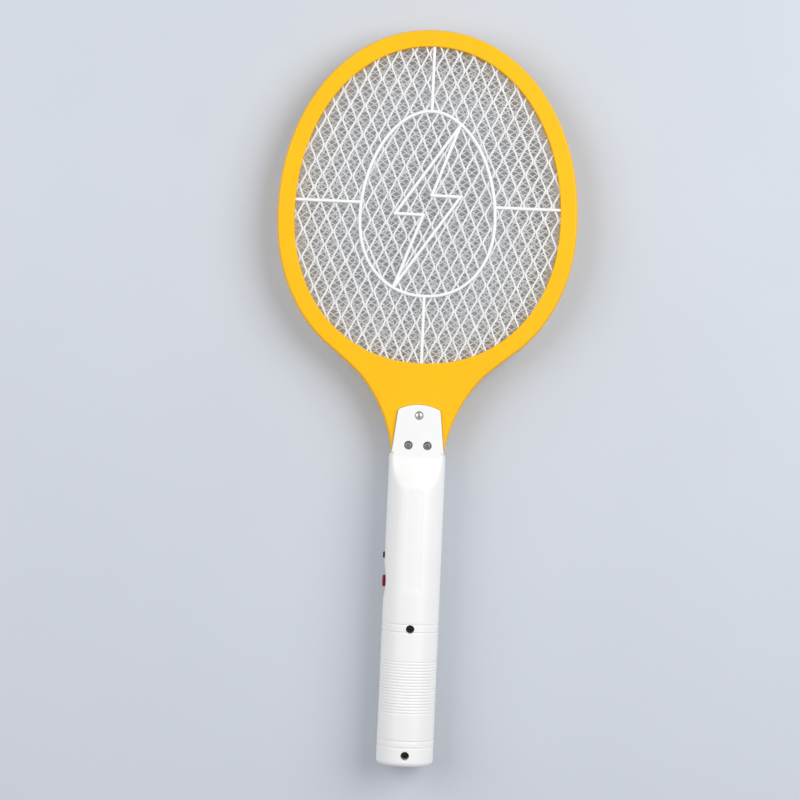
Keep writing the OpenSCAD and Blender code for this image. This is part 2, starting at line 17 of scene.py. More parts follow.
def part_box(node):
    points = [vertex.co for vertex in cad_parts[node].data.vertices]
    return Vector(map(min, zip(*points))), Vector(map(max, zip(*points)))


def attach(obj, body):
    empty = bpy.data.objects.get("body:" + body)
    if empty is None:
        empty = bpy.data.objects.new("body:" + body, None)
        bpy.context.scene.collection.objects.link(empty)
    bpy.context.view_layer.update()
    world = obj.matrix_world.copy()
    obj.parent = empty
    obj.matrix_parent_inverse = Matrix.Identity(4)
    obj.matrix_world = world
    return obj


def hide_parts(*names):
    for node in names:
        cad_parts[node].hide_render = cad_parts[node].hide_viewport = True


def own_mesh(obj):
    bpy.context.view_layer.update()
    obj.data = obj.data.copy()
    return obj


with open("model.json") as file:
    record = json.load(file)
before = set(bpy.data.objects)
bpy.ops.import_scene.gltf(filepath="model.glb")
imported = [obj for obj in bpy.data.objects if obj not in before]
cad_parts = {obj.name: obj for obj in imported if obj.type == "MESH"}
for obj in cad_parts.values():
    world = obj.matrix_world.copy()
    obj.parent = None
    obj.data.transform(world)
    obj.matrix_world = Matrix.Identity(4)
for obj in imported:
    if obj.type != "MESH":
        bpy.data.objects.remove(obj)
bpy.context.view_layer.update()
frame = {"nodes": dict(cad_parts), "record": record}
RECORD_SLOTS = {part["node"]: part["material_slot"] for part in frame["record"]["subparts"]}

MM = 0.001
ORIGIN = np.array([0.0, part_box("rear_shell")[0].y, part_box("rear_frame")[0].z])
UP = np.array([0.0, 0.0, 1.0])


def measure(node, corner, axis):
    """A CAD node's lowest (0) or highest (1) reach along x, s or z, in mm."""
    return (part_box(node)[corner][axis] - ORIGIN[axis]) / MM


# Head: an oval opening, widest at WIDE_S, in a flat band
TIP = measure("rear_frame", 1, 1)
FRAME_T = measure("rear_frame", 1, 2)
BAND = 10.8
OPEN_A = measure("rear_frame", 1, 0) - BAND
OPEN_TOP = 104.6
OPEN_LOW = 89.5
WIDE_S = TIP - BAND - OPEN_TOP
N_TOP = 2.06  # powers of the oval's two halves; 2 is an ellipse
N_LOW = 2.14
DRAFT = 0.85
MESH_GRIP = 3.3  # how far the meshes reach under the rim
MESH_TOP = measure("rear_mesh", 1, 2)
MESH_LOW = measure("rear_mesh", 0, 2)

# Neck: NECK_X to either side where it enters the handle, with concave sides and a tang inside the handle
NECK_X = 16.4
NECK_R = 86.7
NECK_DROP = 11.5  # how far the centre of the side's arc lies under the shoulder
TANG_X = 12.6
TANG_LOW = 160.0
TANG_T = 4.4
SCREW_HOLE_R = 1.5
PILOT_R = 1.25

# Meshes, each with a tab that its wire is soldered to. A sheet is a diamond's width and length, its turn in
# degrees, one joint's (x, s), and a strand's width and thickness
TAB_X = 3.0
TAB_W = 5.0
TAB_S = (234.5, 244.5)
REAR_SHEET = (9.17, 17.37, -2.01, (-1.9, 340.2), 1.08, 0.6)
FRONT_SHEET = (9.38, 17.25, 1.77, (3.75, 346.75), 1.05, 0.6)
MIDDLE_SHEET = (5.76, 3.93, 1.56, (0.7, 342.05), 0.6, 0.46)
SHEET_EDGE_T = 0.6
MIDDLE_EDGE_T = 0.5
STRAND_WAVE = 0.11  # how far a strand sways out of the sheet, as a share of its thickness

# Guards: an oval, widest at GUARD_S, with a lightning bolt in it and four spokes
GUARD_S = WIDE_S - 1.2
GUARD_A = 41.4
GUARD_TOP = 66.3
GUARD_LOW = 47.1
GUARD_N = (1.94, 2.15)  # powers of its upper and lower half
GUARD_W = 1.8
GUARD_T = 1.15
GUARD_EDGE = 0.45
SPOKE_S = WIDE_S + 7.8
BOLT = [(18.0, 58.6), (-20.0, 2.9), (-2.6, 2.7), (-19.2, -42.4), (19.8, 14.6), (2.1, 14.8)]

# Handle: a slightly tapered round bar, hollow from VOID_LOW to VOID_TOP, with a chamfered shoulder
SHOULDER_S = 191.3
BUTT_R = -measure("front_shell", 0, 2)
SHOULDER_R = 17.3
WALL = 2.1
VOID_LOW = 2.4
VOID_TOP = 165.0
CHAMFER = (0.9, 3.0)
BAND_GROOVES = (11.4, 15.5, 81.8, 86.5)
GRIP_GROOVES = (32.5, 1.84, 18)  # place of the first, pitch, count
SEAM = 0.14  # how far the skin steps in at the parting plane

# Tongue on the neck, and the ramp from it up to the handle
TONGUE_TOP = measure("rear_shell", 1, 1)
TONGUE_Z = 7.9
TONGUE_BASE = 4.5
TONGUE_X = 13.2
TONGUE_ARCH_R = 28.0
TONGUE_CORNER_R = 2.6
RAMP_TOP_S = 171.0
RAMP_LOW_S = SHOULDER_S - 2
RAMP_BEND = 4.0
RAMP_CROWN = 55.0
RAMP_SOFT = 2.0

# Controls, which stick out through a wall that is flat inside at x = -PAD_X, and the scoop for the thumb
BUTTON_S = 111.9
BUTTON = (7.0, 6.0, 1.5)  # length, height, corner radius
KNOB_S = 127.8
KNOB = (3.7, 2.8, 0.5)
KNOB_TRAVEL = 3.0
CONTROL_GAP = 0.3
PAD_X = 13.9
SCOOP_R = 45.0
SCOOP_DEPTH = 1.25

# Faint panel along the handle's crest
PANEL_X = 4.6
PANEL_S = (107.9, 169.5)
PANEL_DEPTH = 0.28

# Screws: (x, s, z of the seat)
NECK_SCREWS = [(0.0, 214.0, 6.0), (-5.8, 195.7, 5.3), (5.8, 195.7, 5.3)]
HANDLE_SCREWS = [(0.0, 6.8, 6.0), (0.0, 83.9, 6.0)]
BORE_R = 2.6
HEAD_R = 2.3
HEAD_T = 1.6

# Battery bay: its reach along and across the handle, and the two cells in it
BAY = (18.5, 77.5)
BAY_X = 14.9
CELL_R = 7.1
CELL_X = 7.25

SMOOTH = 38  # edges that turn by more degrees than this are shaded sharp


# ------------------------------------------------------------ materials

def linear(rgb):
    """sRGB values from 0 to 255 as linear ones."""
    values = [c / 255 for c in rgb]
    return tuple(c / 12.92 if c <= 0.04045 else ((c + 0.055) / 1.055) ** 2.4 for c in values)


def shade(color, factor):
    """A colour made lighter or darker, with its alpha."""
    return tuple(min(1.0, c * factor) for c in color) + (1.0,)


def noise(tree, coords, size, detail=3.0):
    """A noise whose features are about size mm across."""
    node = tree.nodes.new("ShaderNodeTexNoise")
    node.inputs["Scale"].default_value = 1 / (size * MM)
    node.inputs["Detail"].default_value = detail
    tree.links.new(coords, node.inputs["Vector"])
    return node.outputs["Fac"]


def spread(tree, value, low, high):
    """Maps the middle of a noise onto low to high."""
    node = tree.nodes.new("ShaderNodeMapRange")
    node.inputs["From Min"].default_value = 0.3
    node.inputs["From Max"].default_value = 0.7
    node.inputs["To Min"].default_value = low
    node.inputs["To Max"].default_value = high
    tree.links.new(value, node.inputs["Value"])
    return node.outputs["Result"]


MATERIALS = {}


def surface(name, rgb, rough, mottle, mottle_size, metal=0.0, grain=0.15, grain_size=0.5, coat=0.0,
            specular=0.5):
    """Makes a material with uneven colour and gloss, and a fine relief that is grain mm high."""
    mat = bpy.data.materials.new(name)
    mat.use_nodes = True
    tree = mat.node_tree
    shader = tree.nodes["Principled BSDF"]
    shader.inputs["Metallic"].default_value = metal
    shader.inputs["Coat Weight"].default_value = coat
    shader.inputs["Coat Roughness"].default_value = 0.15
    shader.inputs["Specular IOR Level"].default_value = specular
    coords = tree.nodes.new("ShaderNodeTexCoord").outputs["Object"]
    color = linear(rgb)
    mix = tree.nodes.new("ShaderNodeMix")
    mix.data_type = "RGBA"
    mix.inputs["A"].default_value = shade(color, 1 - mottle)
    mix.inputs["B"].default_value = shade(color, 1 + mottle)
    tree.links.new(spread(tree, noise(tree, coords, mottle_size), 0, 1), mix.inputs["Factor"])
    tree.links.new(mix.outputs["Result"], shader.inputs["Base Color"])
    gloss = spread(tree, noise(tree, coords, mottle_size / 3, 5.0), rough * 0.85, rough * 1.15)
    tree.links.new(gloss, shader.inputs["Roughness"])
    bump = tree.nodes.new("ShaderNodeBump")
    bump.inputs["Strength"].default_value = 0.5
    bump.inputs["Distance"].default_value = grain * MM
    tree.links.new(noise(tree, coords, grain_size, 2.0), bump.inputs["Height"])
    tree.links.new(bump.outputs["Normal"], shader.inputs["Normal"])
    MATERIALS[name] = mat


surface("yellow_plastic", (249, 187, 0), 0.42, mottle=0.025, mottle_size=30, grain=0.02, grain_size=0.35,
        specular=0.3)
surface("white_plastic", (240, 239, 238), 0.38, mottle=0.012, mottle_size=24, grain=0.015, grain_size=0.4)
surface("white_guard", (240, 240, 239), 0.4, mottle=0.02, mottle_size=9, grain=0.02)
surface("mesh_coat", (230, 231, 232), 0.45, mottle=0.06, mottle_size=5, grain=0.05, grain_size=0.3)
surface("mesh_metal", (236, 236, 234), 0.42, metal=0.2, mottle=0.08, mottle_size=4, grain=0.05,
        grain_size=0.25)
surface("bright_steel", (208, 210, 208), 0.34, metal=0.9, mottle=0.06, mottle_size=1.2, grain=0.02,
        grain_size=0.2)
# painted shade: a darker copy of the neck screws' steel, for the two screws whose deeper seats sit in shadow
surface("shaded_steel", (150, 146, 142), 0.5, metal=0.85, mottle=0.12, mottle_size=1.2, grain=0.03,
        grain_size=0.2)
surface("dark_steel", (112, 104, 94), 0.42, metal=0.9, mottle=0.15, mottle_size=1.2, grain=0.03,
        grain_size=0.2)
surface("red_plastic", (132, 2, 24), 0.36, mottle=0.05, mottle_size=3, grain=0.01, specular=0.3)
surface("black_plastic", (14, 14, 15), 0.5, mottle=0.15, mottle_size=2, grain=0.03, specular=0.3)
surface("spring_steel", (200, 200, 204), 0.25, metal=1.0, mottle=0.08, mottle_size=1, grain=0.01)
surface("contact_metal", (214, 210, 200), 0.3, metal=1.0, mottle=0.06, mottle_size=3, grain=0.02)
surface("board", (196, 158, 96), 0.6, mottle=0.1, mottle_size=3, grain=0.04)
surface("ferrite", (58, 58, 62), 0.65, mottle=0.15, mottle_size=1.5, grain=0.08)
surface("bobbin_plastic", (40, 38, 36), 0.5, mottle=0.1, mottle_size=2)
surface("copper", (190, 104, 52), 0.3, metal=1.0, mottle=0.12, mottle_size=1.5)
surface("film_red", (140, 34, 26), 0.28, mottle=0.08, mottle_size=2, coat=0.4)
surface("film_orange", (200, 120, 36), 0.28, mottle=0.08, mottle_size=2, coat=0.4)
surface("epoxy_black", (30, 30, 32), 0.5, mottle=0.15, mottle_size=1)
surface("resistor_coat", (204, 178, 128), 0.4, mottle=0.08, mottle_size=1)
surface("led_red", (215, 40, 34), 0.12, mottle=0.05, mottle_size=1, coat=0.6)
surface("cell_sleeve", (48, 112, 74), 0.3, metal=0.3, mottle=0.06, mottle_size=6, grain=0.02)
surface("wire_red", (178, 22, 20), 0.45, mottle=0.08, mottle_size=2)
surface("wire_black", (28, 28, 28), 0.5, mottle=0.12, mottle_size=2)
surface("floor", (200, 205, 213), 0.75, mottle=0.012, mottle_size=160, grain=0.1, grain_size=1.5)


# ------------------------------------------------------------ shapes

def signed_power(value, p):
    return np.sign(value) * np.abs(value) ** p


def unit(v):
    return v / np.linalg.norm(v, axis=-1, keepdims=True)


class Shape:
    """Points in mm and faces, gathered piece by piece."""

    def __init__(self):
        self.points = np.zeros((0, 3))
        self.faces = []

    def add(self, points, faces):
        base = len(self.points)
        self.points = np.concatenate([self.points, np.asarray(points, float).reshape(-1, 3)])
        self.faces += [[base + int(i) for i in face] for face in faces]
        return self

    def merge(self, other):
        return self.add(other.points, other.faces)

    def mapped(self, change):
        """The same faces on points moved by a function."""
        result = Shape()
        result.points = change(self.points)
        result.faces = self.faces
        return result

    def mirrored(self):
        return self.mapped(lambda p: p * [1, 1, -1])


def shade_smooth(mesh, smooth):
    mesh.polygons.foreach_set("use_smooth", [True] * len(mesh.polygons))
    mesh.set_sharp_from_angle(angle=math.radians(smooth))


def build(name, shape, smooth=SMOOTH):
    """An object from a shape, with its faces turned outwards."""
    mesh = bpy.data.meshes.new(name)
    mesh.from_pydata((shape.points * MM + ORIGIN).tolist(), [], shape.faces)
    obj = bpy.data.objects.new(name, mesh)
    bpy.context.scene.collection.objects.link(obj)
    work = bmesh.new()
    work.from_mesh(mesh)
    bmesh.ops.recalc_face_normals(work, faces=work.faces)
    work.to_mesh(mesh)
    work.free()
    shade_smooth(mesh, smooth)
    return obj


def combine(obj, tools, operation="DIFFERENCE", smooth=SMOOTH):
    """Cuts other objects out of an object, or keeps or joins them, and removes them."""
    for tool in tools:
        modifier = obj.modifiers.new("carve", "BOOLEAN")
        modifier.object = tool
        modifier.operation = operation
        modifier.solver = "EXACT"
    depsgraph = bpy.context.evaluated_depsgraph_get()
    result = bpy.data.meshes.new_from_object(obj.evaluated_get(depsgraph))
    obj.modifiers.clear()
    obj.data = result
    for tool in tools:
        bpy.data.objects.remove(tool)
    shade_smooth(result, smooth)


def carve(obj, cutters, operation="DIFFERENCE", smooth=SMOOTH):
    """Does the same with shapes."""
    combine(obj, [build(obj.name + "_tool", cutter) for cutter in cutters], operation, smooth)


def show(obj, slot, nodes, body="racket"):
    """Gives a piece its material and its body, and hides the CAD nodes that it stands in for."""
    obj.data.materials.clear()
    obj.data.materials.append(MATERIALS[slot])
    normals = obj.modifiers.new("normals", "WEIGHTED_NORMAL")
    normals.weight = 80
    normals.keep_sharp = True
    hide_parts(*nodes)
    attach(obj, body)
    return obj


def paint_faces(obj, slot, chosen):
    """Gives a second material to the faces whose middle, in (x, s, z), passes a test."""
    obj.data.materials.append(MATERIALS[slot])
    for face in obj.data.polygons:
        if chosen((np.array(face.center) - ORIGIN) / MM):
            face.material_index = 1


def paint_nodes():
    """Gives every CAD node its slot's material, which shows on those that aren't replaced."""
    for name, slot in RECORD_SLOTS.items():
        node = frame["nodes"][name]
        node.data.materials.clear()
        node.data.materials.append(MATERIALS[slot])


def grid(points, wrap=False, caps=True):
    """A sheet over points[row][column], closed round its columns by wrap and at both ends by caps."""
    rows, columns = points.shape[:2]
    index = np.arange(rows * columns).reshape(rows, columns)
    after = np.roll(index, -1, 1) if wrap else index[:, 1:]
    here = index if wrap else index[:, :-1]
    quads = np.stack([here[:-1], after[:-1], after[1:], here[1:]], -1).reshape(-1, 4).tolist()
    if caps:
        quads += [index[0].tolist(), index[-1].tolist()]
    return Shape().add(points, quads)


def ring(points):
    """A sheet over points[row][column] that closes on itself both ways."""
    rows, columns = points.shape[:2]
    index = np.arange(rows * columns).reshape(rows, columns)
    after, below = np.roll(index, -1, 1), np.roll(index, -1, 0)
    quads = np.stack([index, after, np.roll(below, -1, 1), below], -1).reshape(-1, 4).tolist()
    return Shape().add(points, quads)


def box(low, high):
    """A block between its lowest and highest corners."""
    corners = [(x, s, z) for x in (low[0], high[0]) for s in (low[1], high[1]) for z in (low[2], high[2])]
    faces = [(0, 1, 3, 2), (4, 6, 7, 5), (0, 4, 5, 1), (2, 3, 7, 6), (0, 2, 6, 4), (1, 5, 7, 3)]
    return Shape().add(corners, faces)


def lathe(profile, steps, axis="z"):
    """A closed turned shape from (radius, height) pairs, standing along x, s or z from the zero point."""
    profile = np.array(profile, float)
    angle = np.linspace(0, 2 * np.pi, steps, endpoint=False)
    r = profile[:, 0][:, None]
    u = r * np.cos(angle)
    v = r * np.sin(angle)
    h = np.repeat(profile[:, 1][:, None], steps, 1)
    order = {"z": (u, v, h), "s": (u, h, v), "x": (h, u, v)}[axis]
    return grid(np.stack(order, -1), wrap=True)


def moved(shape, x, s, z):
    return shape.mapped(lambda p: p + [x, s, z])


def rod(radius, low, high, x, s, steps=24):
    """An upright cylinder at (x, s)."""
    return moved(lathe([(radius, low), (radius, high)], steps=steps), x, s, 0)


def inset(loop, distance, open_end=False):
    """An anticlockwise closed loop moved inwards, except for its closing edge if open_end is set."""
    edge = unit(np.roll(loop, -1, 0) - loop)
    normal = np.stack([-edge[:, 1], edge[:, 0]], 1)
    before = np.roll(normal, 1, 0)
    miter = (before + normal) / (1 + (before * normal).sum(1, keepdims=True))
    if open_end:
        miter[0] = normal[0]
        miter[-1] = before[-1]
    return loop + distance * miter


def at_height(loop, z):
    return np.column_stack([loop, np.full(len(loop), z)])


def fillet(radius, steps):
    """(inset, drop) pairs round a corner, from the wall to the face."""
    angles = np.linspace(0, np.pi / 2, steps + 1)
    return [(radius * (1 - math.cos(a)), radius * (1 - math.sin(a))) for a in angles]


def slab(loop, low, high, edge, steps=4):
    """A flat plate over a loop, with its upper edge rounded.

    A narrow flat border round the face keeps its shading flat."""
    rings = [at_height(loop, low)]
    rings += [at_height(inset(loop, i), high - d) for i, d in fillet(edge, steps)]
    rings.append(at_height(inset(loop, edge + 0.3), high))
    return grid(np.array(rings), wrap=True)


def inside(points, loop):
    """Whether each point lies in a closed loop."""
    x, y = points[:, 0][:, None], points[:, 1][:, None]
    a, b = loop, np.roll(loop, -1, 0)
    crosses = (a[:, 1] > y) != (b[:, 1] > y)
    rise = np.where(b[:, 1] == a[:, 1], 1.0, b[:, 1] - a[:, 1])
    left = x < (b[:, 0] - a[:, 0]) * (y - a[:, 1]) / rise + a[:, 0]
    return (crosses & left).sum(1) % 2 == 1


def fill_between(outer, inner):
    """Triangles, as indices into outer followed by inner, of the flat face between two loops."""
    points = np.concatenate([outer, inner])
    edges = [(i, (i + 1) % len(outer)) for i in range(len(outer))]
    edges += [(len(outer) + i, len(outer) + (i + 1) % len(inner)) for i in range(len(inner))]
    found = delaunay_2d_cdt([Vector(p) for p in points], edges, [], 0, 1e-6)
    source = [ids[0] for ids in found[3]]
    triangles = np.array([[source[i] for i in face] for face in found[2]])
    middle = points[triangles].mean(1)
    keep = inside(middle, outer) & ~inside(middle, inner)
    return triangles[keep]


def sweep(paths, section, up=UP):
    """Closed bars, one along each path. paths is [count, steps, 3], section [corners, 2], across and up."""
    paths = np.asarray(paths, float)
    tangent = unit(np.gradient(paths, axis=1))
    across = unit(np.cross(tangent, up))
    rise = np.cross(across, tangent)
    section = np.asarray(section, float)
    sideways, upwards = section[:, 0, None], section[:, 1, None]
    points = paths[:, :, None] + sideways * across[:, :, None] + upwards * rise[:, :, None]
    count, steps, corners = points.shape[:3]
    index = np.arange(count * steps * corners).reshape(count, steps, corners)
    a, b = index[:, :-1], index[:, 1:]
    quads = np.stack([a, np.roll(a, -1, 2), np.roll(b, -1, 2), b], -1).reshape(-1, 4).tolist()
    quads += index[:, 0].tolist() + index[:, -1].tolist()
    return Shape().add(points, quads)


def round_section(width, height, corner, steps):
    """The corners of a rounded rectangle."""
    points = []
    for k, (x, y) in enumerate([(1, 1), (-1, 1), (-1, -1), (1, -1)]):
        center = np.array([x * (width / 2 - corner), y * (height / 2 - corner)])
        for j in range(steps + 1):
            angle = math.radians(90 * k + 90 * j / steps)
            points.append(center + corner * np.array([math.cos(angle), math.sin(angle)]))
    return np.array(points)


def circle(radius, corners):
    angle = np.linspace(0, 2 * np.pi, corners, endpoint=False)
    return radius * np.stack([np.cos(angle), np.sin(angle)], 1)


def resample(points, spacing, closed=False):
    """Evenly spaced points along a line or loop."""
    line = np.concatenate([points, points[:1]]) if closed else points
    length = np.concatenate([[0], np.cumsum(np.linalg.norm(np.diff(line, axis=0), axis=1))])
    count = max(2, int(round(length[-1] / spacing)))
    where = np.linspace(0, length[-1], count, endpoint=not closed)
    return np.stack([np.interp(where, length, line[:, k]) for k in range(line.shape[1])], 1)


# ------------------------------------------------------------ head

def rim_point(t, grow):
    """Points of the head opening's outline, moved out by grow."""
    up = np.sin(t) >= 0
    n = np.where(up, N_TOP, N_LOW)
    b = np.where(up, OPEN_TOP, OPEN_LOW) + grow
    x = (OPEN_A + grow) * signed_power(np.cos(t), 2 / n)
    return np.stack([x, WIDE_S + b * signed_power(np.sin(t), 2 / n)], -1)


def rim_loop(grow, spacing=1.6):
    """The opening's outline as an anticlockwise loop."""
    t = np.linspace(0, 2 * np.pi, 1440, endpoint=False)
    return resample(rim_point(t, grow), spacing, closed=True)


def rim_level(x, s, grow):
    """Below 1 inside the outline moved out by grow."""
    y = s - WIDE_S
    n = np.where(y > 0, N_TOP, N_LOW)
    b = np.where(y > 0, OPEN_TOP, OPEN_LOW) + grow
    return (np.abs(x) / (OPEN_A + grow)) ** n + (np.abs(y) / b) ** n


def frame_outline():
    """The frame's outer edge, anticlockwise from the right shoulder, with the neck flowing into the oval."""
    center = np.array([NECK_X + math.sqrt(NECK_R ** 2 - NECK_DROP ** 2), SHOULDER_S - NECK_DROP])
    oval = rim_point(np.linspace(-np.pi / 2, np.pi / 2, 1600), BAND)
    meets = int(np.argmax(np.linalg.norm(oval - center, axis=1) < NECK_R + 0.2))
    start = math.asin(NECK_DROP / NECK_R)
    end = math.atan2(oval[meets, 1] - center[1], center[0] - oval[meets, 0])
    angle = np.linspace(start, end, 80)
    neck = center + NECK_R * np.stack([-np.cos(angle), np.sin(angle)], 1)
    right = resample(np.concatenate([neck, oval[meets + 1:]]), 1.4)
    joint = int(np.argmin(np.linalg.norm(right - oval[meets], axis=1)))
    near, passes = 9, 60
    for _ in range(passes):
        first, last = joint - near, joint + near + 1
        right[first:last] = (right[first - 1:last - 1] + right[first + 1:last + 1]) / 2
    left = right[-2::-1] * [-1, 1]
    return np.concatenate([right, left])


def tongue_outline(grow):
    """The handle's tongue, anticlockwise, with its foot hidden in the handle."""
    corner_x = TONGUE_X - TONGUE_CORNER_R
    arch_s = TONGUE_TOP - TONGUE_ARCH_R
    corner_s = arch_s + math.sqrt((TONGUE_ARCH_R - TONGUE_CORNER_R) ** 2 - corner_x ** 2)
    lean = math.atan2(corner_s - arch_s, corner_x)

    def arc(x, s, radius, start, end, steps):
        angle = np.linspace(start, end, steps)
        return np.stack([x + (radius + grow) * np.cos(angle), s + (radius + grow) * np.sin(angle)], 1)

    right = arc(corner_x, corner_s, TONGUE_CORNER_R, 0, lean, 8)
    top = arc(0, arch_s, TONGUE_ARCH_R, lean, np.pi - lean, 26)
    left = right[::-1] * [-1, 1]
    foot = NECK_X - 0.45 + grow
    root = foot - 1.2
    low = SHOULDER_S - 4
    side = [[root, low], [root, SHOULDER_S - 0.4], [foot, SHOULDER_S]]
    return np.concatenate([side, right, top[1:-1], left, np.array(side)[::-1] * [-1, 1]])


def spoke_slots():
    """The slots under the rim that the guard's spokes end in."""
    half, deep, over = GUARD_W / 2 + 0.15, MESH_GRIP + 0.2, 4
    low, high = MESH_TOP - 0.05, MESH_TOP + 1.3
    top, bottom = WIDE_S + OPEN_TOP, WIDE_S - OPEN_LOW
    slots = Shape()
    for start, end in ((OPEN_A - over, OPEN_A + deep), (-OPEN_A - deep, -OPEN_A + over)):
        slots.merge(box((start, SPOKE_S - half, low), (end, SPOKE_S + half, high)))
    for start, end in ((top - over, top + deep), (bottom - deep, bottom + over)):
        slots.merge(box((-half, start, low), (half, end, high)))
    return slots


def frame_half():
    """One half of the yellow frame, with its face up."""
    edge, lip_edge, flat, foot = 0.9, 0.6, 0.5, 0.25
    pocket = MESH_GRIP + 0.15
    outer = frame_outline()
    inner = rim_loop(0)
    wall = [(foot, 0.0), (0.0, foot)] + [(DRAFT + i, FRAME_T - d) for i, d in fillet(edge, 5)]
    wall.append((DRAFT + edge + flat, FRAME_T))
    outside = [at_height(inset(outer, i, open_end=True), z) for i, z in wall]
    lip = [(lip_edge + flat, FRAME_T)] + [(i, FRAME_T - d) for i, d in reversed(fillet(lip_edge, 3))]
    lip += [(0.0, MESH_TOP), (pocket, MESH_TOP), (pocket, 0.0)]
    within = [at_height(inset(inner, -i), z) for i, z in lip]
    shape = grid(np.array(outside), wrap=True, caps=False)
    first_inner = len(shape.points)
    shape.merge(grid(np.array(within), wrap=True, caps=False))

    def join(outer_start, inner_start, outer_ring, inner_ring):
        triangles = fill_between(outer_ring[:, :2], inner_ring[:, :2])
        n = len(outer_ring)
        place = np.where(triangles < n, triangles + outer_start, triangles - n + inner_start)
        shape.faces += place.tolist()

    join((len(outside) - 1) * len(outer), first_inner, outside[-1], within[0])
    join(0, first_inner + (len(within) - 1) * len(inner), outside[0], within[-1])
    return shape


def make_frame(name, node, up):
    """A frame half with its tang, and with room for the tongue, the guard, the wires and the screws."""
    obj = build(name, frame_half())
    carve(obj, [box((-TANG_X, TANG_LOW, 0), (TANG_X, SHOULDER_S + 0.5, TANG_T))], "UNION")
    pocket = slab(tongue_outline(0.2), TONGUE_BASE, FRAME_T + 2, 0.01, 1)
    hollow = box((-7, 231, -1), (7, TAB_S[1] + 0.5, MESH_TOP))
    channels = [box((x - 1, TANG_LOW - 1, -1), (x + 1, 232, 1)) for x in (-TAB_X, TAB_X)]
    holes = [rod(SCREW_HOLE_R, -2, 8, x, s) for x, s, _ in NECK_SCREWS]
    carve(obj, [pocket, hollow, spoke_slots()] + channels + holes)
    if not up:
        flip(obj)
    show(obj, "yellow_plastic", [node])


def flip(obj):
    """Turns a half upside down through the parting plane."""
    middle = ORIGIN[2]
    for vertex in obj.data.vertices:
        vertex.co.z = 2 * middle - vertex.co.z
    obj.data.flip_normals()


def expanded_sheet(across, along, turn, start, strand, thick, height, long_way_along=True):
    """Expanded metal: each strand leaves a joint beside its neighbour, slants over, and joins the next one.

    across and along are a diamond's width and length, turn its angle in degrees, start a joint's (x, s)."""
    reach, margin = 110, 15
    n = int(reach / min(across, along)) + 2
    i, j = np.meshgrid(np.arange(-2 * n, 2 * n + 1), np.arange(-2 * n, 2 * n + 1), indexing="ij")
    u = (i + j).ravel() * across / 2
    v = (i - j).ravel() * along / 2
    near = np.hypot(u, v) < reach + margin
    u, v = u[near], v[near]
    t = np.concatenate([[0, 0.05, 0.12], np.linspace(0.2, 0.8, 5), [0.88, 0.95, 1]])
    cosine, sine = math.cos(math.radians(turn)), math.sin(math.radians(turn))

    def path(u0, v0, side, t):
        """The middle line of strands that go up and to one side, at the fractions t."""
        fraction = np.clip((t - 0.04) / 0.92, 0, 1)
        eased = 0.7 * fraction + 0.3 * fraction * fraction * (3 - 2 * fraction)
        if long_way_along:
            du = side * (strand / 2 + (across / 2 - strand) * eased)
            dv = along / 2 * t
        else:
            du = side * across / 2 * t
            dv = strand / 2 + (along / 2 - strand) * eased
        a, b = u0 + du, v0 + dv
        x = start[0] + a * cosine - b * sine
        s = start[1] + a * sine + b * cosine
        return x, s

    bars = []
    fine = np.linspace(0, 1, 41)
    for side in (1, -1):
        x, s = path(u[:, None], v[:, None], side, fine[None])
        held = rim_level(x, s, MESH_GRIP - 0.4) < 1
        used = held.sum(1) > 2
        first = fine[held.argmax(1)]
        last = fine[::-1][held[:, ::-1].argmax(1)]
        first, last, u0, v0 = (w[used][:, None] for w in (first, last, u, v))
        where = first + (last - first) * t[None]
        x, s = path(u0, v0, side, where)
        wave = STRAND_WAVE * thick * np.cos(2 * np.pi * where) * side
        bars.append(np.stack([x, s, height + wave], -1))
    return sweep(np.concatenate(bars), round_section(strand, thick, min(strand, thick) * 0.3, 1))


def mesh_rim(height, thick, grip):
    """The solid edge of a mesh, held under the rim."""
    width, covered = 1.2, 0.1
    inner = rim_loop(grip - width - covered, spacing=3)
    outer = inset(inner, -width)
    corners = ((outer, -0.5), (outer, 0.5), (inner, 0.5), (inner, -0.5))
    return ring(np.array([at_height(loop, height + side * thick) for loop, side in corners]))


def make_mesh(name, node, slot, height, thick, shape, tab_x, grip=MESH_GRIP):
    """A mesh from its strands, with its edge and the tab that its wire is soldered to."""
    shape.merge(mesh_rim(height, thick, grip))
    low, high = height - thick / 2, height + thick / 2
    shape.merge(box((tab_x - TAB_W / 2, TAB_S[0], low), (tab_x + TAB_W / 2, TAB_S[1], high)))
    show(build(name, shape), slot, [node])


def make_meshes():
    level = (MESH_TOP + MESH_LOW) / 2
    for node, sheet, height in (("rear_mesh", REAR_SHEET, level), ("front_mesh", FRONT_SHEET, -level)):
        strands = expanded_sheet(*sheet, height)
        make_mesh(node + "_strands", node, "mesh_coat", height, SHEET_EDGE_T, strands, -TAB_X)
    strands = expanded_sheet(*MIDDLE_SHEET, 0.0, long_way_along=False)
    make_mesh("high_voltage_mesh_strands", "high_voltage_mesh", "mesh_metal", 0.0, MIDDLE_EDGE_T, strands,
              TAB_X, MESH_GRIP - 1)


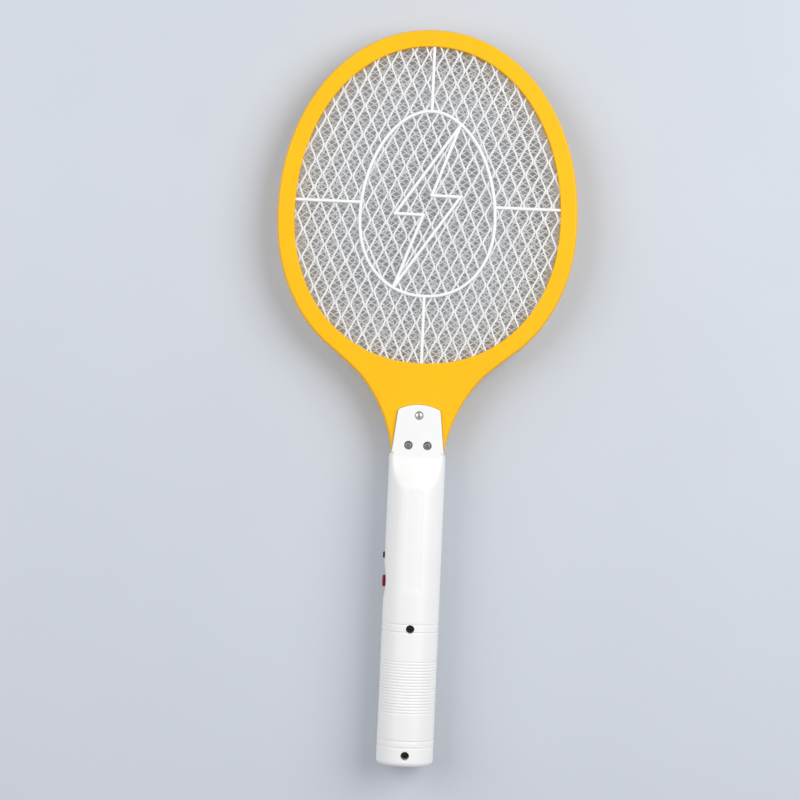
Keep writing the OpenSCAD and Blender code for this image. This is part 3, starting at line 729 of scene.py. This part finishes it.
def guard_shape():
    """The white oval, lightning bolt and spokes, as bars with rounded tops.

    Each straight bar is sunk a little more than the one before, so that no two tops lie in one plane."""
    lift, overlap, sink_step = 0.02, 0.6, 0.015
    z = MESH_TOP + lift + GUARD_T / 2
    t = np.linspace(0, 2 * np.pi, 721)[:-1]
    up = np.sin(t) >= 0
    n = np.where(up, *GUARD_N)
    oval = np.stack([GUARD_A * signed_power(np.cos(t), 2 / n),
                     GUARD_S + np.where(up, GUARD_TOP, GUARD_LOW) * signed_power(np.sin(t), 2 / n)], 1)
    oval = resample(oval, 1.6, closed=True)
    bolt = np.array(BOLT) + [0, GUARD_S]
    bars = list(zip(bolt, np.roll(bolt, -1, 0)))
    under = MESH_GRIP - 0.4
    for side in (-1, 1):
        bars.append([(side * (GUARD_A - overlap), SPOKE_S), (side * (OPEN_A + under), SPOKE_S)])
    bars.append([(0, GUARD_S + GUARD_TOP), (0, WIDE_S + OPEN_TOP + under)])
    bars.append([(0, GUARD_S - GUARD_LOW), (0, WIDE_S - OPEN_LOW - under)])
    shape = ring_bar(oval, z)
    for k, (start, end) in enumerate(bars, 1):
        level = z - k * sink_step
        shape.merge(bar((*start, level), (*end, level)))
    return shape


def bar(start, end):
    """A straight guard bar with round ends and rounded edges."""
    start, end = np.array(start, float), np.array(end, float)
    along = unit(end - start)
    across = np.cross(along, UP)
    section = round_section(GUARD_W, GUARD_T, GUARD_EDGE, 3)
    tip = [(GUARD_W / 2 * math.cos(a), math.sin(a)) for a in np.linspace(0.25, math.pi / 2, 6)]
    stations = [(start - along * reach, scale) for reach, scale in tip]
    stations += [(end + along * reach, scale) for reach, scale in tip[::-1]]
    rings = [point + section[:, :1] * scale * across + section[:, 1:] * UP for point, scale in stations]
    return grid(np.array(rings), wrap=True)


def ring_bar(loop, height):
    """A guard bar along a flat closed loop that runs anticlockwise."""
    section = round_section(GUARD_W, GUARD_T, GUARD_EDGE, 3)
    return ring(np.stack([at_height(inset(loop, across), height + rise) for across, rise in section], 1))


def make_guards():
    shape = guard_shape()
    show(build("rear_guard_bars", shape), "white_guard", ["rear_guard"])
    show(build("front_guard_bars", shape.mirrored()), "white_guard", ["front_guard"])


def make_spacers():
    for node, way in (("rear_spacer", 1), ("front_spacer", -1)):
        low, high, edge = 0.27, MESH_LOW, 0.15
        inner, outer = rim_loop(0.0), inset(rim_loop(0.0), -MESH_GRIP)
        softened = inset(inner, -edge)
        rings = [(inner, low + edge), (softened, low), (outer, low), (outer, high), (softened, high),
                 (inner, high - edge)]
        shape = ring(np.array([at_height(loop, z * way) for loop, z in rings]))
        show(build(node + "_ring", shape), "yellow_plastic", [node])


# ------------------------------------------------------------ handle

def radius_at(s):
    """The handle's radius without its grooves."""
    return BUTT_R - (BUTT_R - SHOULDER_R) * s / SHOULDER_S


def grooves():
    """(place, width, depth) of every groove round the handle."""
    first, pitch, count = GRIP_GROOVES
    band = [(s, 0.9, 0.45) for s in BAND_GROOVES]
    fine = [(first + pitch * i, 0.8, 0.35) for i in range(count)]
    return sorted(band + fine)


def handle_profile():
    """(s, radius) along the handle, with soft grooves and round ends."""
    corner, end, spacing, flank = 3.0, 0.6, 1.5, 0.65
    points = [(corner - corner * math.cos(a), BUTT_R - corner + corner * math.sin(a))
              for a in np.linspace(0, math.pi / 2, 9)]
    stops = set(np.arange(corner + spacing, SHOULDER_S - CHAMFER[1], spacing))
    across = np.array([-0.62, -0.5, -0.38, -0.26, -0.13, 0.0, 0.13, 0.26, 0.38, 0.5, 0.62])
    for s, width, _ in grooves():
        stops = {p for p in stops if abs(p - s) > width * 0.75}
        stops |= set(s + across * width)
    for s in sorted(stops):
        depth = sum(d * max(0.0, 0.5 + 0.5 * math.cos(math.pi * (s - g) / (flank * w)))
                    for g, w, d in grooves() if abs(s - g) < flank * w)
        points.append((s, radius_at(s) - depth))
    cone, edge_r = SHOULDER_S - CHAMFER[1], SHOULDER_R - CHAMFER[0]
    points += [(cone + 0.4, SHOULDER_R - 0.03), (cone + 1, SHOULDER_R - 0.17), (cone + 2.2, SHOULDER_R - 0.6)]
    points += [(SHOULDER_S - end + end * math.sin(a), edge_r - end + end * math.cos(a))
               for a in np.linspace(0.2, math.pi / 2, 6)]
    return np.array(points)


def soft_min(a, b, soft):
    """The smaller of two values, rounded over where they cross."""
    h = np.clip(0.5 + 0.5 * (b - a) / soft, 0, 1)
    return b * (1 - h) + a * h - soft * h * (1 - h)


def handle_solid(full=True):
    """Half of the handle as a solid bar with its round side up; full adds the scoop, ramp and panel."""
    profile = handle_profile()
    even = np.linspace(0, math.pi, 73)
    crest = np.pi / 2 + np.linspace(-0.34, 0.34, 29)
    beside_seam = [0.012, math.pi - 0.012]
    angle = np.unique(np.round(np.concatenate([even, crest, beside_seam]), 5))
    s = np.repeat(profile[:, 0][:, None], len(angle), 1)
    r = profile[:, 1][:, None]
    x = r * np.cos(angle)
    z = r * np.sin(angle)
    seam = (z < 1e-6) & (np.abs(x) > 2)
    x = np.where(seam, x - np.sign(x) * SEAM, x)
    z = np.where(seam, 0.0, z)
    if full:
        rise = np.sqrt(np.clip(SCOOP_R ** 2 - (s - BUTTON_S) ** 2, 0, None))
        scoop = radius_at(BUTTON_S) - SCOOP_DEPTH + SCOOP_R - rise
        near = np.abs(s - BUTTON_S) < 20
        x = np.where(near & (x < 0), -soft_min(-x, scoop, 0.25), x)
        down = np.clip(RAMP_LOW_S - s, 0, None)
        eased = np.where(down < RAMP_BEND, down ** 2 / (2 * RAMP_BEND), down - RAMP_BEND / 2)
        slope = (radius_at(RAMP_TOP_S) - TONGUE_Z) / (RAMP_LOW_S - RAMP_TOP_S - RAMP_BEND / 2)
        crown = np.minimum(eased / 10, 1) * x ** 2 / RAMP_CROWN
        ramp = TONGUE_Z + slope * eased - crown
        z = np.where(s > RAMP_TOP_S - 8, soft_min(z, ramp, RAMP_SOFT), z)
        z = z - PANEL_DEPTH * panel_mask(x, s) * (z > 10)
    shape = grid(np.stack([x, s, z], -1), caps=True)
    rows, columns = x.shape
    index = np.arange(rows * columns).reshape(rows, columns)
    shape.faces.append(index[:, 0].tolist() + index[::-1, -1].tolist())
    return shape


def panel_mask(x, s):
    """1 on the faint recessed panel along the handle's crest, with an arched upper end."""
    low, top = PANEL_S
    across = PANEL_X - np.abs(x)
    up = PANEL_X - np.hypot(x, np.maximum(s - top + PANEL_X, 0))
    depth = np.minimum(np.minimum(across, up), s - low)
    wall = 0.5
    return np.clip(0.5 + depth / wall, 0, 1)


def half_tube(low, high):
    """The inside of the handle's half, reaching a little under the parting plane."""
    angle = np.linspace(-0.08, math.pi + 0.08, 50)
    rings = []
    for s in np.linspace(low, high, 12):
        r = radius_at(s) - WALL
        rings.append(np.stack([r * np.cos(angle), np.full(len(angle), s), r * np.sin(angle)], 1))
    return grid(np.array(rings), wrap=True)


def cradle(s, clear):
    """A rib with two round seats for the cells."""
    radius, half, low, high, thick = CELL_R + clear, 15.2, 3.0, 18, 1.5
    angle = np.linspace(math.asin(low / radius), math.pi - math.asin(low / radius), 18)
    seat = np.stack([radius * np.cos(angle), radius * np.sin(angle)], 1)
    line = np.concatenate([[(half, low)], seat + [CELL_X, 0], seat + [-CELL_X, 0],
                           [(-half, low), (-half, high), (half, high)]])
    rings = [np.column_stack([line[:, 0], np.full(len(line), y), line[:, 1]]) for y in (s - thick, s)]
    return grid(np.array(rings), wrap=True)


def inner_space(ribs):
    """The hollow in a shell half: the tube less the pad, walls, bosses and ribs that stand in it."""
    space = build("inner_space", half_tube(VOID_LOW, VOID_TOP))
    far, under, thick = 30, -3, 1.6
    pad = box((-far, 97, under), (-PAD_X, 139, far))
    walls = [box((-far, s, under), (far, s + thick, far)) for s in (16.4, 78.0)]
    bosses = [rod(4, under, far, x, s, 40) for x, s, _ in HANDLE_SCREWS]
    carve(space, [pad] + walls + bosses + ribs)
    return space


def across_x(loop, x, s):
    """A loop drawn along the handle and upwards, stood up at x and s."""
    return np.column_stack([np.full(len(loop), x), s + loop[:, 0], loop[:, 1]])


def shell_half(name, ribs):
    """A half of the handle with its tongue, hollow, and with openings for the tang and the controls."""
    obj = build(name, handle_solid())
    carve(obj, [slab(tongue_outline(0), TONGUE_BASE, TONGUE_Z, 0.8)], "UNION")
    combine(obj, [inner_space(ribs)])
    room = 0.15
    tang = box((-TANG_X - room, TANG_LOW - 1, -2), (TANG_X + room, SHOULDER_S + 1, TONGUE_BASE))
    outside, within = -25, -PAD_X + 3
    length, height, corner = BUTTON
    hole = round_section(length + 2 * CONTROL_GAP, height + 2 * CONTROL_GAP, corner + CONTROL_GAP, 4)
    button = grid(np.array([across_x(hole, x, BUTTON_S) for x in (outside, within)]), wrap=True)
    before, half = KNOB[0] / 2 + CONTROL_GAP, KNOB[1] / 2 + CONTROL_GAP
    knob = box((outside, KNOB_S - before, -half), (within, KNOB_S + before + KNOB_TRAVEL, half))
    carve(obj, [tang, button, knob])
    return obj


def make_rear_shell():
    """The handle half with the sinks for the screws' heads and the ribs that hold the cells."""
    obj = shell_half("rear_shell_skin", [cradle(s, 0.2) for s in (30, 48, 66)])
    holes = [rod(SCREW_HOLE_R, -2, 20, x, s) for x, s, _ in NECK_SCREWS + HANDLE_SCREWS]
    bores = [counterbore(seat, x, s, TONGUE_Z) for x, s, seat in NECK_SCREWS]
    bores += [counterbore(seat, x, s, radius_at(s)) for x, s, seat in HANDLE_SCREWS]
    wires = [moved(lathe([(0.8, -2), (0.8, 4)], 16, "s"), x, 78, 2) for x in (-11, 11)]
    carve(obj, holes)
    carve(obj, bores + wires)
    show(obj, "white_plastic", ["rear_shell"])


def counterbore(seat, x, s, top):
    """The sink of a screw's head, with a slightly softened mouth."""
    profile = [(BORE_R, seat), (BORE_R, top - 0.35), (BORE_R + 0.12, top - 0.12), (BORE_R + 0.35, top + 0.02),
               (BORE_R + 0.4, top + 3)]
    return moved(lathe(profile, steps=40), x, s, 0)


def make_front_shell():
    """The handle half with the battery opening, the screws' pilot holes and the indicator's window."""
    obj = shell_half("front_shell_skin", [])
    opening = box((-BAY_X, BAY[0], 3.5), (BAY_X, BAY[1], 40))
    pilots = [rod(PILOT_R, -2, TONGUE_Z - 0.7, x, s, 20) for x, s, _ in NECK_SCREWS]
    pilots += [rod(PILOT_R, -2, 12, x, s, 20) for x, s, _ in HANDLE_SCREWS]
    light = moved(lathe([(1.6, 10), (1.6, 16.2), (2.1, 16.9), (2.4, 25)], steps=32), 0, 144, 0)
    carve(obj, [opening, light] + pilots)
    posts = [rod(2, 4.6, 13.5, x, s) for x in (-8, 8) for s in (98, 152)]
    carve(obj, posts, "UNION")
    flip(obj)
    show(obj, "white_plastic", ["front_shell"])


def make_battery_cover():
    """A plate cut out of the same handle, with two ribs and a notch for the thumb."""
    gap = 0.3
    x, low, high = BAY_X - gap, BAY[0] + gap, BAY[1] - gap
    obj = build("battery_cover_skin", handle_solid(full=False))
    edge = round_section(2 * x, high - low, 1.0, 4) + [0, (low + high) / 2]
    block = grid(np.array([at_height(edge, z) for z in (0.5, 30)]), wrap=True)
    carve(obj, [block], "INTERSECT")
    space = build("cover_space", half_tube(10, 90))
    limit = box((-12, 30, 4), (12, 66, 30))
    for s in (40, 58):
        rib = build("rib", cradle(s, 0.4))
        carve(rib, [limit], "INTERSECT")
        combine(space, [rib])
    combine(obj, [space])
    notch = moved(lathe([(5, BUTT_R - 1.3), (5.6, BUTT_R + 3)], steps=40), 0, BAY[1], 0)
    carve(obj, [notch])
    flip(obj)
    show(obj, "white_plastic", ["battery_cover"], "battery_cover")


def screw(shank):
    """A pan head screw with a thread, standing on its head's underside."""
    profile = [(0.02, -shank), (0.45, -shank + 0.6), (1.0, -shank + 1.4)]
    for z in np.arange(-shank + 1.6, -0.8, 0.9):
        profile += [(0.95, z), (0.98, z + 0.3), (1.2, z + 0.45), (0.98, z + 0.6)]
    profile += [(1.0, -0.2), (1.1, 0), (HEAD_R - 0.15, 0), (HEAD_R, 0.15), (HEAD_R, HEAD_T * 0.35)]
    for a in np.linspace(0.2, 1.3, 7):
        profile.append((HEAD_R * math.cos(a), HEAD_T * (0.35 + 0.65 * math.sin(a))))
    profile.append((0.02, HEAD_T))
    return lathe(profile, steps=36)


def cross_recess(turn):
    """The two tapered bars of the cross that a driver fits."""
    bars = []
    long, short, deep = 1.35, 0.32, 1.0
    for a in (turn, turn + math.pi / 2):
        rings = []
        for scale, z in ((0.35, -deep), (1.0, 0.3)):
            corners = np.array([(long, short), (-long, short), (-long, -short), (long, -short)]) * [scale, 1]
            spun = corners @ np.array([[math.cos(a), math.sin(a)], [-math.sin(a), math.cos(a)]])
            rings.append(at_height(spun, z))
        bars.append(grid(np.array(rings), wrap=True))
    return bars


def make_screws(name, node, slot, places, shanks, turns):
    """Screws as one piece, each with its own shank length and its own turn of the cross."""
    shape = Shape()
    cuts = []
    for (x, s, seat), shank, turn in zip(places, shanks, turns):
        shape.merge(moved(screw(shank), x, s, seat))
        cuts += [moved(cross, x, s, seat + HEAD_T) for cross in cross_recess(turn)]
    obj = build(name, shape, 30)
    carve(obj, cuts, smooth=30)
    return show(obj, slot, [node])


def make_button():
    """A red cap with a softly crowned face, its flange and its stem."""
    out = -measure("push_button", 0, 0)
    flange = PAD_X - 0.3
    loop = resample(round_section(*BUTTON, 6), 0.5, closed=True)
    rings = [(loop, flange - 0.2)]
    rings += [(inset(loop, i), out - drop) for i, drop in fillet(0.8, 5)]
    face = rings[-2][0]
    rings += [(face * scale, out + rise) for scale, rise in ((0.55, 0.06), (0.2, 0.12))]
    shape = grid(np.array([across_x(edge, -reach, BUTTON_S) for edge, reach in rings]), wrap=True)
    base, back = round_section(9.7, 8.0, 1.5, 4), -flange + 1
    shape.merge(grid(np.array([across_x(base, x, BUTTON_S) for x in (-flange, back)]), wrap=True))
    shape.merge(moved(lathe([(1.4, -0.2), (1.4, 4.4), (1.1, 4.7)], 24, "x"), back, BUTTON_S, 0))
    show(build("push_button_cap", shape), "red_plastic", ["push_button"], "push_button")


def make_knob():
    """A black knob with four ridges across its top."""
    out = -measure("slide_knob", 0, 0)
    root, ridge_r = 12.4, 0.2
    loop = resample(round_section(*KNOB, 4), 0.3, closed=True)
    rings = [(loop, root), (loop, out - 0.5)]
    rings += [(inset(loop, i), out - drop - 0.15) for i, drop in fillet(0.35, 4)]
    shape = grid(np.array([across_x(edge, -reach, KNOB_S) for edge, reach in rings]), wrap=True)
    for step in (-1.05, -0.35, 0.35, 1.05):
        ridge = np.array([[(-out + ridge_r, KNOB_S + step, z) for z in (-1.1, 1.1)]])
        shape.merge(sweep(ridge, circle(ridge_r, 8), up=np.array([1.0, 0.0, 0.0])))
    show(build("slide_knob_cap", shape), "black_plastic", ["slide_knob"], "slide_knob")


# ------------------------------------------------------------ battery bay

def make_cells():
    """Two cells, head to tail, each with a sleeve and bare ends."""
    length = measure("aa_cell_1", 1, 1) - measure("aa_cell_1", 0, 1)
    can = length - 1.0
    profile = [(0.02, 0.15), (4.6, 0.15), (4.8, 0), (6.3, 0), (6.9, 0.25), (CELL_R, 0.7), (CELL_R, can - 0.8),
               (6.95, can - 0.3), (6.5, can - 0.05), (4.4, can - 0.1), (4.2, can), (2.75, can),
               (2.7, can + 0.15), (2.65, length - 0.2), (2.4, length), (0.02, length)]
    shape = lathe(profile, 64, "s")
    first = moved(shape, -CELL_X, measure("aa_cell_1", 0, 1), 0)
    second = moved(shape.mapped(lambda p: p * [1, -1, 1]), CELL_X, measure("aa_cell_2", 1, 1), 0)
    for node, cell in (("aa_cell_1", first), ("aa_cell_2", second)):
        obj = show(build(node + "_can", cell), "cell_sleeve", [node])
        paint_faces(obj, "contact_metal", lambda p: math.hypot(abs(p[0]) - CELL_X, p[2]) < 6.2)


def coil(x, start, length, wire, outer, tip, turns):
    """A conical spring along the handle, from radius outer at its foot to tip at its end."""
    k = np.linspace(0, 1, 150)
    angle = 2 * np.pi * turns * k
    r = outer + (tip - outer) * k
    step = np.sign(length) * wire + (length - 2 * np.sign(length) * wire) * k
    path = np.stack([x + r * np.cos(angle), start + step, r * np.sin(angle)], -1)
    return sweep(path[None], circle(wire, 10), up=np.array([0.0, 1.0, 0.0]))


def make_springs():
    """The two springs of the battery bay, and the button's, built at its CAD node's length with a mesh of its
    own.
    """
    length = measure("bridge_spring", 1, 1) - BAY[0]
    places = (("bridge_spring", -CELL_X, BAY[0], 1), ("negative_spring", CELL_X, BAY[1], -1))
    for node, x, start, way in places:
        shape = coil(x, start, way * length, wire=0.4, outer=4.2, tip=2.8, turns=4)
        show(build(node + "_coil", shape, 60), "spring_steel", [node])
    low, high = measure("button_spring", 0, 0), measure("button_spring", 1, 0)
    k = np.linspace(0, 1, 120)
    angle = 2 * np.pi * 3.5 * k
    wire, radius = 0.2, 2.1
    path = np.stack([low + wire + (high - low - 2 * wire) * k, BUTTON_S + radius * np.cos(angle),
                     radius * np.sin(angle)], -1)
    spring = build("button_spring_coil", sweep(path[None], circle(wire, 8), up=np.array([1.0, 0.0, 0.0])), 60)
    show(spring, "spring_steel", ["button_spring"])
    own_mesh(spring)


# ------------------------------------------------------------ stage

def make_floor():
    """A pale floor that the handle lies on, with the head above it."""
    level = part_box("front_shell")[0].z
    bpy.ops.mesh.primitive_plane_add(size=3, location=(0, 0, level))
    floor = bpy.context.object
    floor.name = "floor"
    floor.data.materials.append(MATERIALS["floor"])


def make_lights():
    """Soft light from all round, and a large lamp on either side that is aimed at the middle."""
    world = bpy.data.worlds.new("studio")
    world.use_nodes = True
    back = world.node_tree.nodes["Background"]
    back.inputs["Color"].default_value = (0.97, 0.98, 1.0, 1)
    back.inputs["Strength"].default_value = 0.4
    bpy.context.scene.world = world
    lamps = (("key", (0.9, 0.42, 1.05), 14.6), ("fill", (-0.95, 0.3, 1.0), 9.1))
    for name, location, power in lamps:
        lamp = bpy.data.lights.new(name, "AREA")
        lamp.shape = "DISK"
        lamp.size = 1.2
        lamp.energy = power
        obj = bpy.data.objects.new(name, lamp)
        obj.location = location
        obj.rotation_euler = (Vector((0, 0, 0)) - obj.location).to_track_quat("-Z", "Y").to_euler()
        bpy.context.scene.collection.objects.link(obj)


def make_camera():
    """A camera straight above, turned so that the handle leans as it does in the picture."""
    height, view_width, sensor = 1.6, 0.4916, 36
    aim_x, aim_s, lean = -12.1, 223.1, 2.45
    lens = bpy.data.cameras.new("camera")
    lens.sensor_width = sensor
    lens.lens = sensor * height / view_width
    obj = bpy.data.objects.new("camera", lens)
    obj.location = np.array([aim_x, aim_s, height / MM]) * MM + ORIGIN
    obj.rotation_euler = (0, 0, math.radians(lean))
    bpy.context.scene.collection.objects.link(obj)
    bpy.context.scene.camera = obj
    bpy.context.scene.view_settings.view_transform = "Standard"


make_camera()
make_lights()
make_floor()
paint_nodes()
make_frame("rear_frame_skin", "rear_frame", True)
make_frame("front_frame_skin", "front_frame", False)
make_meshes()
make_guards()
make_spacers()
make_rear_shell()
make_front_shell()
make_battery_cover()
neck = make_screws("neck_screw_set", "neck_screws", "bright_steel", NECK_SCREWS,
                   (12.9, 12.2, 12.2), (0.3, 0.9, 1.3))
# painted shade: the two lower neck screws get a darker copy of the same steel for their deeper, shadowed
# seats; the top screw keeps the bright steel
paint_faces(neck, "shaded_steel", lambda p: abs(p[0]) > 3)
make_screws("handle_screw_set", "handle_screws", "dark_steel", HANDLE_SCREWS, (17, 17), (0.5, 1.1))
make_button()
make_knob()
make_cells()
make_springs()
